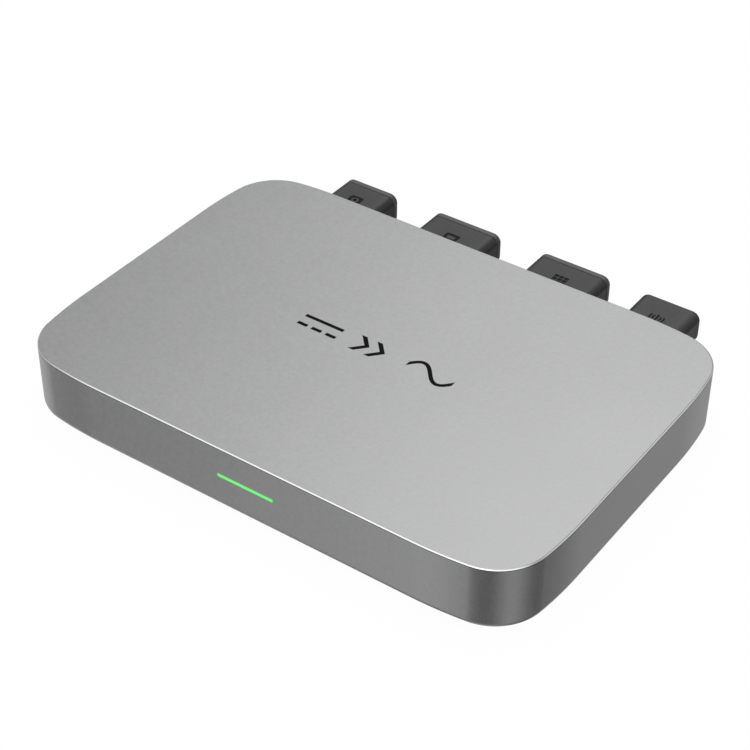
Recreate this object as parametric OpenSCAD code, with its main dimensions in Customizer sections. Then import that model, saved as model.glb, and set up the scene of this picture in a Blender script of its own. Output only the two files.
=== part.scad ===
// Flat micro inverter in a two-piece aluminium case.
// X runs along the long side, +Y points out of the connector side, +Z is up.
// The origin is the centre of the four mounting holes, on the plane the case rests on.

/* [Case] */
// Length of the case along X
case_w = 242; // [236:1:250]
// Depth of the case along Y, without the connector blocks
case_d = 169; // [166:1:176]
// Overall height, mounting rails included
case_h = 33; // [32:0.5:36]
// Height of the gap under the upper shell's lower edge
shell_lift = 3; // [2.8:0.1:3.2]
// Wall thickness of the upper shell's sides
wall = 3; // [2.6:0.1:3.2]
// Thickness of the upper shell's top
top_t = 2.6; // [2:0.1:3]
// Width of the bright chamfer round the top
chamfer = 0.5; // [0.4:0.1:1.2]
// Radius of the upper shell's lower outer edge
edge_r = 3.5; // [2.5:0.1:3.5]

/* [Corner shape] */
// Large radius that leads each side into its corner
lead_r = 180; // [150:5:220]
// Small radius at the middle of each corner
corner_r = 23.5; // [21:0.5:26]
// Angle turned by each lead-in arc
lead_a = 7.5; // [6:0.5:8.5]

/* [Connector blocks] */
// How far the connector blocks reach, measured from the case centre
block_y = 111.6; // [109:0.1:114]
// Height of the connector blocks
block_h = 15; // [14.6:0.1:15.4]
// Height of the connector blocks' centre line
block_z = 16.5; // [16.2:0.1:17]
// Corner radius of the connector blocks, seen from the +Y side
block_r = 4; // [3.6:0.1:4.4]
// Thickness of the part of a sealing cap that shows
cap_t = 3.1; // [2.6:0.1:3.4]
// Width of the mains and antenna blocks
narrow_w = 27.9; // [27:0.1:28.4]
// Width of the battery and solar blocks
wide_w = 35.1; // [34.2:0.1:35.4]

/* [Light bar] */
// Length of the light bar
bar_w = 27.5; // [24:0.1:28]
// Height of the light bar
bar_h = 1.9; // [1.6:0.1:2.2]
// Height of the light bar's centre line
bar_z = 19.2; // [17:0.1:21]

/* [Mounting] */
// Distance between mounting holes along X
mount_dx = 160; // [150:1:164]
// Distance between mounting holes along Y
mount_dy = 100; // [96:1:102]
// Radius of the mounting holes, for M5 threads
mount_r = 2.1; // [2.1:0.1:2.5]

/* [Board] */
// Length of the main board
board_w = 200; // [196:1:201]
// Depth of the main board
board_d = 132; // [128:1:133]
// Height of the main board's underside
board_z = 9; // [8.8:0.1:9.4]
// Thickness of the main board
board_t = 1.6; // [1.2:0.1:2]

/* [Hidden] */
$fn = 48;
lap = 0.01;                          // small overlap that joins touching parts
both = [-1, 1];                      // the two sides of a symmetric pair

// case levels and insets
half_w = case_w / 2;
half_d = case_d / 2;
ceil_z = case_h - top_t;             // underside of the top
lip_top = shell_lift + 3;            // top of the shell's inner rim
lip_in = 7;                          // inset of the shell's bottom opening
gasket_t = 0.8;
plate_z0 = 1;                        // underside of the base plate between its rails
rim_z1 = shell_lift - gasket_t;      // top of the base plate's outer rim
plate_z1 = 5;                        // top of the base plate
pcb_z = board_z + board_t;           // component side of the board

// connector blocks, along Y
pad_y = half_d - 5;                  // flat inside face that the block flanges seal against
flange_t = 2.5;
flange_y0 = pad_y - gasket_t - flange_t;
mouth_y = block_y - cap_t;           // +Y face of a socket
socket_y = mouth_y - 16;             // floor of a socket
block_top = block_z + block_h / 2;
block_bottom = block_z - block_h / 2;

// connector blocks and their pins, along X
mains_x = -78.9;
batt_x = -26.1;
solar_x = 30;
ant_x = 77.7;
// centre in X, width
blocks = [[mains_x, narrow_w], [batt_x, wide_w], [solar_x, wide_w], [ant_x, narrow_w]];
mains_pins = [for (i = [-1:1]) mains_x + 7 * i];
batt_pins = [batt_x - 8.5, batt_x + 8.5];
signal_pins = [for (i = [-1:1]) batt_x + 2.4 * i];
solar_pins = [for (i = [-1.5:1:1.5]) solar_x + 7 * i];
power_pin_r = 1.5;                   // mains and solar pins
batt_pin_r = 2.3;
signal_pin_r = 0.6;

// screws: thread radius, pilot hole radius and key radius
screw_r = 1.5;
pilot_r = 1.55;
small_screw_r = 1.25;
small_pilot_r = 1.3;
key_r = 1.25;

// places in X and Y
side_y = 71.5;                       // rows of case screws along the long sides
screw_at = concat([for (x = [-104, 104], y = [-67.5, 67.5]) [x, y]],
                  [for (x = [-54.3, 1.95, 55.65]) [x, side_y]],
                  [for (x = [-54, 54]) [x, -side_y]],
                  [[-110, 0], [110, 0]]);
mount_at = [for (x = both, y = both) [x * mount_dx / 2, y * mount_dy / 2]];
standoff_at = [for (x = [-92, 0, 92], y = [-58, 58]) [x, y]];
vent_at = [95, -34];
earth_at = [-106, 49];               // internal earth screw

// wires from the connector blocks
tail_y = flange_y0 - 4;              // -Y ends of the pins, where wires start
wire_y = 61.5;                       // where wires meet the board
bend_r = 3.5;
lug_z = pcb_z + 1.5;                 // top of the lugs on the board

// ---------- outline of the case: three tangent arcs in each corner ----------
// distance from a corner of the bounding rectangle to where its arcs begin
corner_reach = corner_r * (cos(lead_a) - sin(lead_a)) + lead_r * (1 + sin(lead_a) - cos(lead_a));
x_lead_centre = [half_w - lead_r, half_d - corner_reach];
corner_centre = x_lead_centre + (lead_r - corner_r) * [cos(lead_a), sin(lead_a)];
y_lead_centre = [half_w - corner_reach, half_d - lead_r];

function arc(centre, radius, a0, a1, steps) =
    [for (i = [0:steps])
        let (angle = a0 + (a1 - a0) * i / steps) centre + radius * [cos(angle), sin(angle)]];
function all_but_last(points) = [for (i = [0:len(points) - 2]) points[i]];
// the points in reverse order, scaled by sx and sy to mirror them
function mirrored(points, sx, sy) =
    [for (i = [len(points) - 1:-1:0]) [sx * points[i][0], sy * points[i][1]]];
// the +X +Y quarter of the outline, moved inwards
function quarter(inset) = concat(
    all_but_last(arc(x_lead_centre, lead_r - inset, 0, lead_a, 4)),
    all_but_last(arc(corner_centre, corner_r - inset, lead_a, 90 - lead_a, 18)),
    arc(y_lead_centre, lead_r - inset, 90 - lead_a, 90, 4));
function ring(inset) = let (points = quarter(inset))
    concat(points, mirrored(points, -1, 1), [for (p = points) -p], mirrored(points, 1, -1));

module slab(inset, z0, z1) translate([0, 0, z0]) linear_extrude(z1 - z0) polygon(ring(inset));

// rounded lower edge, upright side and chamfered upper edge, as [inset, z] from the bottom up
edge_rows = concat([for (a = [0:15:90])
                       [edge_r * (1 - sin(a)), shell_lift + edge_r * (1 - cos(a))]],
                   [[0, case_h - chamfer], [chamfer, case_h]]);

module outer_body() {
    n = len(ring(0));
    rows = len(edge_rows);
    polyhedron(
        points = [for (row = edge_rows, p = ring(row[0])) [p[0], p[1], row[1]]],
        faces = concat(
            [[for (i = [0:n - 1]) i]],
            [[for (i = [n - 1:-1:0]) (rows - 1) * n + i]],
            [for (j = [0:rows - 2], i = [0:n - 1])
                let (next = (i + 1) % n)
                [j * n + i, (j + 1) * n + i, (j + 1) * n + next, j * n + next]]));
}

// ---------- small helpers ----------
module rrect(width, height, radius) {
    union() {
        square([width - 2 * radius, height], center = true);
        square([width, height - 2 * radius], center = true);
        for (x = both, y = both)
            translate([x * (width / 2 - radius), y * (height / 2 - radius)]) circle(r = radius);
    }
}
// slot with round ends, of the given overall length along Y
module slot(width, length) union() {
    square([width, length - width], center = true);
    for (side = both) translate([0, side * (length - width) / 2]) circle(r = width / 2);
}
// rounded bar along Y, centred on x and z
module ybar(x, z, width, height, radius, y0, y1)
    translate([x, y1, z]) rotate([90, 0, 0]) linear_extrude(y1 - y0) rrect(width, height, radius);
// round bars along Y, X and Z
module yrod(x, z, radius, y0, y1)
    translate([x, y1, z]) rotate([90, 0, 0]) cylinder(r = radius, h = y1 - y0);
module xrod(x0, y, z, radius, length)
    translate([x0, y, z]) rotate([0, 90, 0]) cylinder(r = radius, h = length);
module zrod(at, radius, z0, z1)
    translate([at[0], at[1], z0]) cylinder(r = radius, h = z1 - z0);
// upright hexagonal prism
module hex(at, radius, z0, height)
    translate([at[0], at[1], z0]) cylinder(r = radius, h = height, $fn = 6);
module box(x0, x1, y0, y1, z0, z1) translate([x0, y0, z0]) cube([x1 - x0, y1 - y0, z1 - z0]);
// box and rounded box, centred on x and y
module cbox(x, y, width, depth, z0, z1)
    translate([x - width / 2, y - depth / 2, z0]) cube([width, depth, z1 - z0]);
module rbox(x, y, width, depth, radius, z0, z1)
    translate([x, y, z0]) linear_extrude(z1 - z0) rrect(width, depth, radius);
// quarter turn of round wire
module elbow(radius, bend)
    rotate_extrude(angle = 90) translate([bend, 0]) circle(r = radius, $fn = 24);
// a wire from (x, y0, z0) along -Y, turning down at y1, ending at height z1
module wire(x, y0, z0, radius, y1, z1, bend) {
    union() {
        yrod(x, z0, radius, y1 + bend, y0);
        translate([x, y1 + bend, z0 - bend]) rotate([0, -90, 180]) elbow(radius, bend);
        zrod([x, y1], radius, z1, z0 - bend);
    }
}

// ---------- case ----------
function flange_screw_x(x, width) = [for (side = both) x + side * (width / 2 + 3.2)];

light_screw_x = [-19, 19];
light_wall_y = -half_d + wall;       // inside face of the -Y wall

// openings and screw holes for one connector block
module block_cutout(x, width) {
    ybar(x, block_z, width + 0.3, block_h + 0.3, block_r + 0.15, pad_y - 1, half_d + 1);
    for (hole_x = flange_screw_x(x, width))
        yrod(hole_x, block_z, small_pilot_r, pad_y - 1, pad_y + 2.9);
}

module top_shell() color("#b9babc") {
    difference() {
        union() {
            difference() {
                outer_body();
                slab(wall, lip_top, ceil_z);
                slab(lip_in, shell_lift - 1, lip_top + 1);
            }
            // screw bosses under the top
            for (at = screw_at) zrod(at, 3.5, plate_z1 + 0.1, ceil_z + lap);
            // flat pads for the connector flanges
            for (block = blocks)
                box(block[0] - block[1] / 2 - 6.5, block[0] + block[1] / 2 + 6.5,
                    pad_y, half_d - 2, lip_top - lap, 27.5);
        }
        for (at = screw_at) zrod(at, pilot_r, plate_z1, 17);
        for (block = blocks) block_cutout(block[0], block[1]);
        ybar(0, bar_z, bar_w + 0.1, bar_h + 0.1, bar_h / 2 + 0.04, -half_d - 1, light_wall_y + 1);
        for (x = light_screw_x) yrod(x, bar_z, small_pilot_r, -half_d + 1.3, light_wall_y + 1);
    }
}

screw_seat_z = plate_z0 + 1.9;       // underside of the plate that the case screw heads meet
vent_seat_z = plate_z0 + 2.4;

module base_plate() color("#8f9193") {
    difference() {
        union() {
            slab(5, plate_z0, rim_z1);
            slab(lip_in + 0.3, rim_z1 - lap, plate_z1);
            // mounting rails
            for (side = both) rbox(0, side * mount_dy / 2, 190, 16, 6, 0, plate_z0 + 0.5);
            // inside bosses round the mounting holes
            for (at = mount_at) zrod(at, 5, plate_z1 - lap, 8);
        }
        for (at = mount_at) zrod(at, mount_r, -1, 6.8);
        for (at = screw_at) {
            zrod(at, 1.6, -1, 8);
            zrod(at, 3.1, -1, screw_seat_z);
        }
        for (at = standoff_at) zrod(at, 1.25, 3, plate_z1 + 1);
        // cooling grooves between the rails
        for (i = [-12:12])
            translate([i * 7, 0, plate_z0 - 1]) linear_extrude(2.8) slot(3, 70);
        // seat and passage of the breather
        zrod(vent_at, 6.1, -1, vent_seat_z);
        zrod(vent_at, 3.1, -1, 8);
        // hole for the internal earth screw
        zrod(earth_at, pilot_r, 2.6, plate_z1 + 1);
    }
}

module base_gasket() color("#2c2d2f") difference() {
    slab(5.3, rim_z1, shell_lift);
    slab(lip_in - 0.1, rim_z1 - 1, shell_lift + 1);
}

// case screws point up, with a key socket in the underside of each head
base_head_h = 1.7;
module base_screw(at) difference() {
    union() {
        zrod(at, 2.9, screw_seat_z - base_head_h, screw_seat_z);
        zrod(at, screw_r, screw_seat_z - lap, screw_seat_z + 12);
    }
    hex(at, key_r, screw_seat_z - base_head_h - 1, 1 + base_head_h * 0.6);
}
module base_screws() color("#a8a9ab") for (at = screw_at) base_screw(at);

module vent_plug() color("#3a3b3d") difference() {
    union() {
        zrod(vent_at, 6, 0.7, vent_seat_z);
        zrod(vent_at, 3.05, plate_z0, 7.4);
    }
    zrod(vent_at, 2, 1.8, 9);
    // ring of breather holes, each joined to the bore by a channel
    for (a = [0:60:359])
        translate([vent_at[0], vent_at[1], 0]) rotate([0, 0, a]) translate([3.6, 0, 0])
            zrod([0, 0], 0.6, 0, 1.4);
    for (a = [0:60:359])
        translate([vent_at[0], vent_at[1], 1.1]) rotate([0, 0, a]) box(1, 3.6, -0.3, 0.3, 0, 0.6);
}

module vent_membrane() color("white") zrod(vent_at, 1.98, 2.4, 2.7);

// ---------- status light ----------
led_board_w = 44;
led_board_h = 10;
led_board_y0 = light_wall_y + 5.2;
led_board_y1 = light_wall_y + 6.2;
light_hole_r = 1.45;

module light_bar() color("#7dff8f") union() {
    ybar(0, bar_z, bar_w, bar_h, bar_h / 2 - 0.01, -half_d, light_wall_y + lap);
    ybar(0, bar_z, 31, 5.6, 1, light_wall_y, light_wall_y + 1.2);
    ybar(0, bar_z, 26, 2.6, 0.6, light_wall_y + 1.2 - lap, light_wall_y + 3.6);
}

module light_bar_holder() color("#e9e9e6") difference() {
    ybar(0, bar_z, led_board_w, led_board_h, 2, light_wall_y, led_board_y0);
    ybar(0, bar_z, 31.3, 5.9, 1.1, -half_d, light_wall_y + 1.3);
    ybar(0, bar_z, 28, 4, 0.8, -half_d, light_wall_y + 6);
    for (x = light_screw_x) yrod(x, bar_z, light_hole_r, -half_d, light_wall_y + 6);
}

module led_board() color("#1f6b45") difference() {
    ybar(0, bar_z, led_board_w, led_board_h, 1, led_board_y0, led_board_y1);
    for (x = light_screw_x) yrod(x, bar_z, light_hole_r, -half_d, light_wall_y + 8);
}

module leds() color("#f4f2c8") for (i = [-2:2])
    box(i * 5 - 1.4, i * 5 + 1.4, led_board_y0 - 1, led_board_y0, bar_z - 0.9, bar_z + 0.9);

module led_board_screws() color("#a8a9ab") for (x = light_screw_x) union() {
    yrod(x, bar_z, small_screw_r, -half_d + 1.6, led_board_y1);
    yrod(x, bar_z, 2.3, led_board_y1, light_wall_y + 7.8);
}

harness_x = 12;
harness_y = -61;
harness_top = pcb_z + 3.4;
harness_bend = 3;
harness_r = 0.6;
module led_harness() color("#d8d8d4") {
    difference() {
        cbox(harness_x, harness_y, 12, 4.4, pcb_z, harness_top);
        cbox(harness_x, harness_y - 2, 8, 1.2, pcb_z + 1, pcb_z + 4);
    }
    for (i = [-1:1]) harness_wire(harness_x + 3 * i);
}
// from the light board towards +Y, turning down into the connector
module harness_wire(x) union() {
    yrod(x, bar_z, harness_r, led_board_y1, harness_y - harness_bend);
    translate([x, harness_y - harness_bend, bar_z - harness_bend]) rotate([90, 0, 90])
        elbow(harness_r, harness_bend);
    zrod([x, harness_y], harness_r, harness_top, bar_z - harness_bend);
}

// ---------- connector blocks ----------
module flange(x, width) difference() {
    ybar(x, block_z, width + 12, 20, 3, flange_y0, flange_y0 + flange_t);
    for (hole_x = flange_screw_x(x, width)) yrod(hole_x, block_z, 1.4, flange_y0 - 1, pad_y);
}

// shallow pictograms in the tops of the blocks, drawn about their centres
module icon_mains() {
    difference() {
        rrect(6.8, 6, 1.4);
        circle(r = 1.8);
    }
    circle(r = 1.1);
}
module icon_battery() difference() {
    rrect(7.2, 5.4, 1);
    rrect(4, 2.1, 0.3);
}
module icon_solar() for (x = [-2.4, 0, 2.4], y = [-2.2, 0, 2.2])
    translate([x, y]) square([2, 1.8], center = true);
// a mast with two arcs on each side
module icon_waves() {
    square([0.9, 4.8], center = true);
    for (side = both, radius = [2.1, 3.5]) intersection() {
        difference() {
            circle(r = radius);
            circle(r = radius - 0.75);
        }
        translate([side * 3, 0]) square([4, 2 + radius * 0.5], center = true);
    }
}
icon_y = 97;
icon_depth = 0.3;
module icon_place(x)
    translate([x, icon_y, block_top - icon_depth]) linear_extrude(1) children();

module port_housing(x, width) difference() {
    union() {
        flange(x, width);
        ybar(x, block_z, width, block_h, block_r, flange_y0, mouth_y);
    }
    // socket
    ybar(x, block_z, width - 4, block_h - 4, 2.4, socket_y, mouth_y + 1);
    // passage of the insert
    ybar(x, block_z, width - 8, 8, 1.6, flange_y0 - 1, socket_y + 1);
    // catch windows for the plug's hooks, in the underside
    for (side = both)
        cbox(x + side * (width / 2 - 9), mouth_y - 7.25, 4.4, 3.5,
             block_bottom - 1, block_bottom + 3);
    icon_place(x) children();
}

// holes: x and radius of each pin
module port_insert(x, width, holes) difference() {
    union() {
        ybar(x, block_z, width - 8.2, 7.8, 1.5, flange_y0 + 0.2, socket_y);
        ybar(x, block_z, width - 9.2, 6.8, 1.2, socket_y - lap, socket_y + 5);
        ybar(x, block_z, width - 5, 10, 1.5, flange_y0 - 1.6, flange_y0 - lap);
        // joins the collar to the body
        ybar(x, block_z, width - 8.2, 7.8, 1.5, flange_y0 - 0.1, flange_y0 + 0.3);
    }
    for (hole = holes) yrod(hole[0], block_z, hole[1] + 0.05, flange_y0 - 3, mouth_y);
}

// round-ended pin that stops short of the socket mouth by the given depth
module pin(x, radius, depth) union() {
    yrod(x, block_z, radius, tail_y, mouth_y - depth - radius);
    translate([x, mouth_y - depth - radius, block_z]) sphere(r = radius, $fn = 32);
}

module port_cap(x, width) difference() {
    union() {
        ybar(x, block_z, width, block_h, block_r, mouth_y, block_y);
        ybar(x, block_z, width - 4.3, block_h - 4.3, 2.2, mouth_y - 6.5, mouth_y + lap);
    }
    // hollow plug
    ybar(x, block_z, width - 7.3, block_h - 7.3, 1.2, mouth_y - 7, mouth_y + 0.6);
    // finger scoops either side of a grip bar
    for (side = both)
        ybar(x + side * (width / 4 - 0.6), block_z, width / 2 - 5.2, 6.4, 1.6,
             block_y - 1.3, block_y + 1);
}

module mains_port_housing() color("#4b4c4e") port_housing(mains_x, narrow_w) icon_mains();
module battery_port_housing() color("#4b4c4e") port_housing(batt_x, wide_w) icon_battery();
module solar_port_housing() color("#4b4c4e") port_housing(solar_x, wide_w) icon_solar();
module antenna_housing() color("#4b4c4e") difference() {
    union() {
        flange(ant_x, narrow_w);
        ybar(ant_x, block_z, narrow_w, block_h, block_r, flange_y0, block_y - 0.8);
    }
    ybar(ant_x, block_z, narrow_w - 4, block_h - 4, 2.4, flange_y0 - 1, block_y - 2.8);
    icon_place(ant_x) icon_waves();
}

module mains_port_insert() color("#161718")
    port_insert(mains_x, narrow_w, [for (x = mains_pins) [x, power_pin_r]]);
module battery_port_insert() color("#161718")
    port_insert(batt_x, wide_w, concat([for (x = batt_pins) [x, batt_pin_r]],
                                       [for (x = signal_pins) [x, signal_pin_r]]));
module solar_port_insert() color("#161718")
    port_insert(solar_x, wide_w, [for (x = solar_pins) [x, power_pin_r]]);

// the middle mains pin, for earth, is the longest
module mains_port_pins() color("#d9c27a")
    for (i = [0:2]) pin(mains_pins[i], power_pin_r, i == 1 ? 4 : 5.5);
module battery_port_pins() color("#d9c27a") {
    for (x = batt_pins) pin(x, batt_pin_r, 5);
    for (x = signal_pins) pin(x, signal_pin_r, 7);
}
module solar_port_pins() color("#d9c27a") for (x = solar_pins) pin(x, power_pin_r, 5);

module flange_gasket(x, width) difference() {
    ybar(x, block_z, width + 11.6, 19.6, 2.8, pad_y - gasket_t, pad_y);
    ybar(x, block_z, width + 0.2, block_h + 0.2, block_r + 0.1, pad_y - 2, pad_y + 1);
    for (hole_x = flange_screw_x(x, width)) yrod(hole_x, block_z, 1.5, pad_y - 2, pad_y + 1);
}
module port_flange_gaskets() color("#2c2d2f")
    for (block = blocks) flange_gasket(block[0], block[1]);

module port_flange_screws() color("#a8a9ab")
    for (block = blocks, x = flange_screw_x(block[0], block[1])) union() {
        yrod(x, block_z, small_screw_r, flange_y0 - lap, pad_y + 2.6);
        yrod(x, block_z, 2.2, flange_y0 - 1.7, flange_y0);
    }

module mating_seal(x, width) difference() {
    ybar(x, block_z, width - 4.2, block_h - 4.2, 2.3, socket_y, socket_y + 1.2);
    ybar(x, block_z, width - 9.1, 6.9, 1.25, socket_y - 1, socket_y + 2);
}
// the antenna block has no socket to seal
module port_mating_seals() color("#c96f2a")
    for (i = [0:2]) mating_seal(blocks[i][0], blocks[i][1]);

module mains_port_cap() color("#5c5d60") port_cap(mains_x, narrow_w);
module battery_port_cap() color("#5c5d60") port_cap(batt_x, wide_w);
module solar_port_cap() color("#5c5d60") port_cap(solar_x, wide_w);

module antenna_board() color("#1f6b45") union() {
    face_z = block_z + 0.4;
    track_top = block_z + 0.6;
    pitch = 4;
    box(ant_x - 10, ant_x + 10, flange_y0 - 1, block_y - 4, block_z - 0.4, face_z);
    // raised radiating track: runs along X, linked at alternate ends
    for (i = [0:3])
        box(ant_x - 8, ant_x + 8, block_y - 7 - i * pitch, block_y - 6 - i * pitch,
            face_z - lap, track_top);
    for (i = [0:2])
        cbox(ant_x + (i % 2 == 0 ? 7.5 : -7.5), block_y - 8.75 - i * pitch, 1, 4.5,
             face_z - lap, track_top);
}

coax_y = 58;
coax_top = pcb_z + 1 + 1.6;
module antenna_cable() color("#222222")
    wire(ant_x, flange_y0 - 1, block_z, 0.9, coax_y, coax_top, 2);

// ---------- main board and its fixings ----------
module main_board() color("#1f6b45") difference() {
    rbox(0, 0, board_w, board_d, 10, board_z, pcb_z);
    for (at = standoff_at) zrod(at, 1.7, board_z - 1, pcb_z + 1);
}

module insulation_sheet() color("#e8e2c4") difference() {
    rbox(0, 0, board_w - 2, board_d - 2, 9, plate_z1 + 0.1, plate_z1 + 0.4);
    for (at = standoff_at) zrod(at, 4, plate_z1 - 1, board_z);
    for (at = mount_at) zrod(at, 6, plate_z1 - 1, board_z);
    zrod(vent_at, 5.5, plate_z1 - 1, board_z);
}

module board_standoffs() color("#c9a24d") for (at = standoff_at) difference() {
    hex(at, 3.1, plate_z1, board_z - plate_z1);
    zrod(at, pilot_r, plate_z1 - 1, board_z + 1);
}

module board_screws() color("#a8a9ab") for (at = standoff_at) difference() {
    union() {
        zrod(at, screw_r, plate_z1 + 0.4, pcb_z + lap);
        zrod(at, 2.9, pcb_z, pcb_z + 1.9);
    }
    hex(at, key_r, pcb_z + 0.9, 2);
}

// ---------- transformers: the windings turn about X, on the core's middle leg ----------
transformer_at = [[0, 24], [0, -16]];
core_z0 = pcb_z + 1.3;
core_h = 17;
core_z1 = core_z0 + core_h;
core_mid_z = core_z0 + core_h / 2;

// places its children's 2D shape across X, on a transformer's axis, from x0 for a length
module across_axis(at, x0, length)
    translate([at[0] + x0, at[1], core_mid_z]) rotate([90, 0, 90]) linear_extrude(length)
        children();

module transformer_cores() color("#3c3d40") for (at = transformer_at) difference() {
    cbox(at[0], at[1], 38, 12, core_z0, core_z1);
    // winding windows above and below the middle leg
    cbox(at[0], at[1], 28, 14, core_z0 + 3, core_z0 + 5.8);
    cbox(at[0], at[1], 28, 14, core_z1 - 5.8, core_z1 - 3);
    // gap in the middle leg
    cbox(at[0], at[1], 0.4, 14, core_z0 + 5.7, core_z1 - 5.7);
}

module transformer_windings() color("#c8892f") for (at = transformer_at) difference() {
    across_axis(at, -12, 24) rrect(29, 10.6, 4);
    across_axis(at, -13, 26) rrect(14.2, 7.2, 0.6);
}

module transformer_bobbins() color("#232426") for (at = transformer_at) difference() {
    union() {
        for (side = both) across_axis(at, side * 12.9 - 0.8, 1.6) rrect(31, 10.8, 2);
        across_axis(at, -13, 26) rrect(14, 7, 0.5);
        // feet that carry the solder pins, outside the core
        for (side = both) {
            cbox(at[0], at[1] + side * 14, 34, 4, pcb_z, pcb_z + 4);
            for (x = [-13.1, 13.1])
                cbox(at[0] + x, at[1] + side * 14, 1.4, 2.4, pcb_z + 3.9, core_mid_z);
        }
    }
    across_axis(at, -20, 40) square([12.2, 5.6], center = true);
}

// ---------- chokes: flat rings ----------
choke_at = [[-47, 24], [-47, -20]];
choke_z = pcb_z + 9;
choke_r = 13;                        // middle of the ring's section
choke_turns = 18;
module choke_cores() color("#2f5f4c") for (at = choke_at)
    translate([at[0], at[1], choke_z])
        rotate_extrude($fn = 64) translate([choke_r, 0]) rrect(7.4, 12, 1.5);

module choke_windings() color("#b8702a") for (at = choke_at, i = [0:choke_turns - 1])
    translate([at[0], at[1], choke_z]) rotate([0, 0, i * 360 / choke_turns + 10])
        translate([choke_r, 0, 0]) rotate([90, 0, 0]) linear_extrude(1.5, center = true)
            difference() {
                rrect(10.6, 15.2, 3);
                rrect(7.6, 12.2, 1.6);
            }

module choke_bases() color("#1c1d1f") for (at = choke_at) difference() {
    union() {
        zrod(at, 16, pcb_z, choke_z - 7.6);
        zrod(at, 6.5, pcb_z, choke_z + 3);
    }
    zrod(at, 4.5, pcb_z - 1, choke_z + 4);
}

// ---------- capacitors, relays and protection ----------
bus_cap_at = [for (x = [68, 86], y = [34, 15.5, -3]) [x, y]];
bus_cap_r = 8;
bus_cap_top_r = 7.4;
bus_cap_shoulder = pcb_z + 13.4;
module bus_capacitors() color("#2b3442") for (at = bus_cap_at) difference() {
    union() {
        zrod(at, bus_cap_r, pcb_z, bus_cap_shoulder);
        translate([at[0], at[1], bus_cap_shoulder - lap])
            cylinder(r1 = bus_cap_r, r2 = bus_cap_top_r, h = 1);
        zrod(at, bus_cap_top_r, pcb_z + 14.3, pcb_z + 17.4);
    }
    // crimp groove and vent cross
    translate([at[0], at[1], pcb_z + 2.6])
        rotate_extrude() translate([8.4, 0]) circle(r = 0.9, $fn = 24);
    for (a = [0, 90])
        translate([at[0], at[1], pcb_z + 17.1]) rotate([0, 0, a]) cube([9, 0.5, 1], center = true);
}

module film_capacitors() color("#b9b6a6") {
    for (y = [12, 1, -10]) cbox(-84, y, 20, 9, pcb_z, pcb_z + 15);
    for (x = [34, 46]) cbox(x, 26, 9.5, 22, pcb_z, pcb_z + 14);
}

module grid_relays() color("#1c3e6e") for (y = [45, 30]) union() {
    cbox(-81, y, 29, 12.6, pcb_z, pcb_z + 15.6);
    cbox(-81, y, 27.6, 11.2, pcb_z + 15.6 - lap, pcb_z + 16);
}

varistor_y = 50.5;
module surge_varistors() color("#2a6fa3") for (x = [-62.5, -56]) union() {
    xrod(x - 2, varistor_y, pcb_z + 9, 7, 4);
    for (side = both) zrod([x, varistor_y + side * 3.6], 0.45, pcb_z, pcb_z + 6);
}

fuse_y = 54;
fuse_z = pcb_z + 4.4;
module fuse() color("#d8d3c0") union() {
    xrod(-45, fuse_y, fuse_z, 2.3, 20);
    // end caps
    for (x = [-45.2, -30.2]) xrod(x, fuse_y, fuse_z, 2.6, 5.4);
    // legs
    for (x = [-42.5, -27.5]) cbox(x, fuse_y, 1, 0.8, pcb_z, pcb_z + 3);
}

// ---------- heat spreader with a row of transistors on its -Y face ----------
spreader_y0 = -51;
spreader_y1 = -43;
spreader_y = (spreader_y0 + spreader_y1) / 2;
spreader_x = 90;                     // half its length
spreader_top = ceil_z - 0.6;
transistor_x = [for (i = [0:7]) -77 + 22 * i];
clip_screw_z = pcb_z + 14;
module heat_spreader() color("#c3c5c8") difference() {
    box(-spreader_x, spreader_x, spreader_y0, spreader_y1, pcb_z + 1.4, spreader_top);
    // notches in the lower edge
    for (x = [-55, -11, 33]) cbox(x, spreader_y, 12, 10, pcb_z, pcb_z + 6);
    for (x = transistor_x)
        yrod(x, clip_screw_z, small_pilot_r, spreader_y0 - 1, spreader_y + 1);
}

module thermal_pad() color("#8fa7c4")
    box(-spreader_x, spreader_x, spreader_y0, spreader_y1, spreader_top, ceil_z);

module power_transistors() color("#1d1e20") for (x = transistor_x) union() {
    cbox(x, spreader_y0 - 2.2, 10, 4.4, pcb_z + 3.4, pcb_z + 12.4);
    // legs
    for (i = [-1:1]) cbox(x + 2.5 * i, spreader_y0 - 1.8, 0.9, 0.6, pcb_z, pcb_z + 3.5);
}

// spring clips that press the transistors to the spreader, with their screws
module transistor_clips() color("#b5b7ba") for (x = transistor_x) union() {
    cbox(x, spreader_y0 - 0.4, 6, 0.8, pcb_z + 12.8, pcb_z + 17.2);
    cbox(x, spreader_y0 - 2.8, 6, 5.6, pcb_z + 12.6, pcb_z + 13.2);
    cbox(x, spreader_y0 - 5.1, 6, 1, pcb_z + 8, pcb_z + 13.2);
    yrod(x, clip_screw_z, small_screw_r, spreader_y0 - 1.2, spreader_y);
    yrod(x, pcb_z + 14.6, 2.2, spreader_y0 - 2, spreader_y0 - 0.7);
}

// ---------- chips and wireless board ----------
// x, y, width, depth, height
chips = concat([[34, -12, 14, 14, 1.4], [52, -14, 8, 10, 1.4], [34, -30, 6, 5, 1.4]],
               [for (i = [0:3]) [-24 + 16 * i, -37.5, 5, 4, 1.5]],
               [for (x = [-84, -74]) [x, -27, 7, 9, 2.4]],
               [[78, -28, 16, 9, 6]]);
module control_chips() color("#1d1e20")
    for (chip = chips) cbox(chip[0], chip[1], chip[2], chip[3], pcb_z, pcb_z + chip[4]);

module wireless_board() color("#20364f") rbox(ant_x, 53.5, 20, 18, 1, pcb_z, pcb_z + 1);
module wireless_shield() color("#c9cbcd") union() {
    rbox(ant_x, 50.5, 16, 10, 0.8, pcb_z + 1, pcb_z + 3.4);
    // coaxial socket
    zrod([ant_x, coax_y], 1.5, pcb_z + 1, coax_top);
}

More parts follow.
